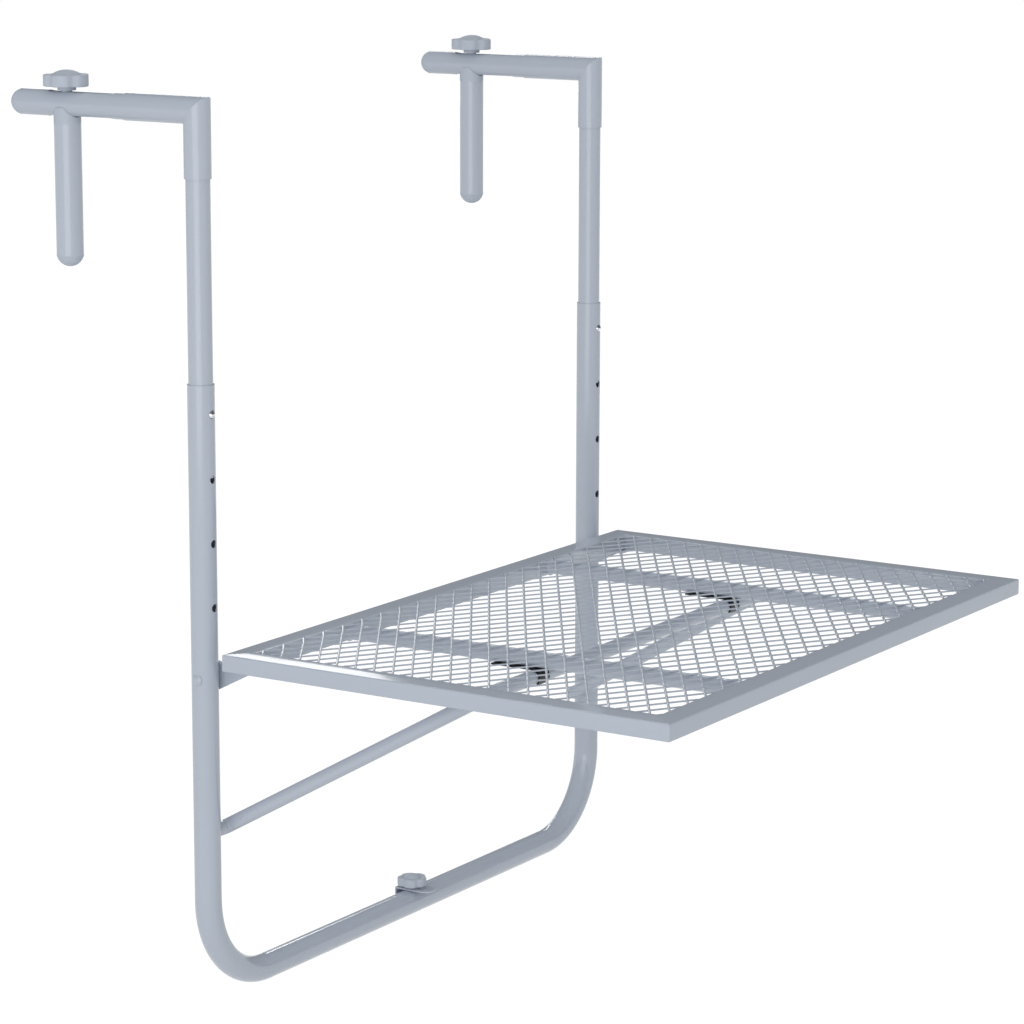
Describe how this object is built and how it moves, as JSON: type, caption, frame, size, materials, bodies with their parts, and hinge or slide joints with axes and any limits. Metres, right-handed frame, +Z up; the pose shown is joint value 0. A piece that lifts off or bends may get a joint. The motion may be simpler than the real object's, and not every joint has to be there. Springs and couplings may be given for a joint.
{
  "type": "balcony folding table",
  "caption": "Folding mesh-top table on a U-shaped tube frame that hangs from a railing by two height-adjustable clamp hooks, with a swinging brace under the top.",
  "frame": {"origin": "inner corner of the hooks, midway between the posts: the back face of the posts (Y 0) at the level of the underside of the elbows (Z 0), where the part rests on and against the railing", "axes": "+X to the right along the railing, as the user faces it; +Y away from the user over the railing, so the tabletop reaches towards -Y; +Z up"},
  "size_m": [0.6142, 0.6074, 0.7389],
  "materials": {
    "powder_coat": "semi-gloss powder coat, pale blue-grey",
    "grey_plastic": "satin moulded plastic, blue-grey",
    "bright_steel": "bright plated steel",
    "plain_steel": "zinc-plated steel",
    "black_clip": "black coated spring steel"
  },
  "bodies": {
    "hangers": {"left_elbow": "powder_coat", "right_elbow": "powder_coat", "left_arm": "powder_coat", "right_arm": "powder_coat", "left_arm_cap": "grey_plastic", "right_arm_cap": "grey_plastic", "left_inner_post": "powder_coat", "right_inner_post": "powder_coat", "left_button_spring": "plain_steel", "right_button_spring": "plain_steel"},
    "lower_frame": {"lower_frame": "powder_coat", "left_pivot_bolt": "powder_coat", "right_pivot_bolt": "powder_coat", "left_pivot_spacer": "plain_steel", "right_pivot_spacer": "plain_steel", "left_pivot_nut": "plain_steel", "right_pivot_nut": "plain_steel", "stop_insert": "plain_steel"},
    "table": {"rim_front": "powder_coat", "rim_rear": "powder_coat", "rim_left": "powder_coat", "rim_right": "powder_coat", "mesh_upper_strands": "powder_coat", "mesh_lower_strands": "powder_coat", "left_rail": "powder_coat", "right_rail": "powder_coat", "left_hinge_bracket": "powder_coat", "right_hinge_bracket": "powder_coat", "left_hook_clip": "black_clip", "right_hook_clip": "black_clip", "clip_rivets": "black_clip"},
    "brace": {"brace": "powder_coat"},
    "left_clamp": {"left_peg": "powder_coat", "left_peg_saddle": "grey_plastic", "left_peg_cap": "grey_plastic", "left_saddle_nut": "plain_steel"},
    "right_clamp": {"right_peg": "powder_coat", "right_peg_saddle": "grey_plastic", "right_peg_cap": "grey_plastic", "right_saddle_nut": "plain_steel"},
    "left_clamp_screw": {"left_clamp_knob": "grey_plastic", "left_clamp_stud": "plain_steel"},
    "right_clamp_screw": {"right_clamp_knob": "grey_plastic", "right_clamp_stud": "plain_steel"},
    "left_button": {"left_button": "bright_steel"},
    "right_button": {"right_button": "bright_steel"},
    "stop_plate": {"stop_plate": "powder_coat"},
    "stop_screw": {"stop_knob": "grey_plastic", "stop_stud": "plain_steel"}
  },
  "joints": [
    {"name": "height_slide", "type": "slide", "parent": "hangers", "child": "lower_frame", "axis": [0, 0, 1], "range_m": [0, 0.153], "deforming": ["left_button", "right_button"]},
    {"name": "table_fold", "type": "hinge", "parent": "lower_frame", "child": "table", "pos_m": [0, -0.01075, -0.4333], "axis": [1, 0, 0], "range_deg": [0, 80], "deforming": ["left_hook_clip", "right_hook_clip"]},
    {"name": "brace_fold", "type": "hinge", "parent": "lower_frame", "child": "brace", "pos_m": [0, -0.01075, -0.56], "axis": [1, 0, 0], "range_deg": [0, 112]},
    {"name": "left_clamp_slide", "type": "slide", "parent": "hangers", "child": "left_clamp", "axis": [0, 1, 0], "range_m": [-0.045, 0.013]},
    {"name": "left_knob_turn", "type": "hinge", "parent": "left_clamp", "child": "left_clamp_screw", "pos_m": [-0.289, 0.11625, 0.025], "axis": [0, 0, 1], "continuous": true},
    {"name": "left_button_press", "type": "slide", "parent": "hangers", "child": "left_button", "axis": [0, 1, 0], "range_m": [0, 0.004], "stiffness_N_per_m": 800, "springref_m": -0.002, "deforming": ["left_button_spring"]},
    {"name": "right_clamp_slide", "type": "slide", "parent": "hangers", "child": "right_clamp", "axis": [0, 1, 0], "range_m": [-0.045, 0.013]},
    {"name": "right_knob_turn", "type": "hinge", "parent": "right_clamp", "child": "right_clamp_screw", "pos_m": [0.289, 0.11625, 0.025], "axis": [0, 0, 1], "continuous": true},
    {"name": "right_button_press", "type": "slide", "parent": "hangers", "child": "right_button", "axis": [0, 1, 0], "range_m": [0, 0.004], "stiffness_N_per_m": 800, "springref_m": -0.002, "deforming": ["right_button_spring"]},
    {"name": "stop_slide", "type": "slide", "parent": "lower_frame", "child": "stop_plate", "axis": [0, 1, 0], "range_m": [0, 0.01]},
    {"name": "stop_knob_turn", "type": "hinge", "parent": "lower_frame", "child": "stop_screw", "pos_m": [0, -0.01075, -0.675], "axis": [0, 0, 1], "continuous": true}
  ],
  "couplings": [
    {"joint": "brace_fold", "follows": "table_fold", "ratio": 1.4}
  ]
}
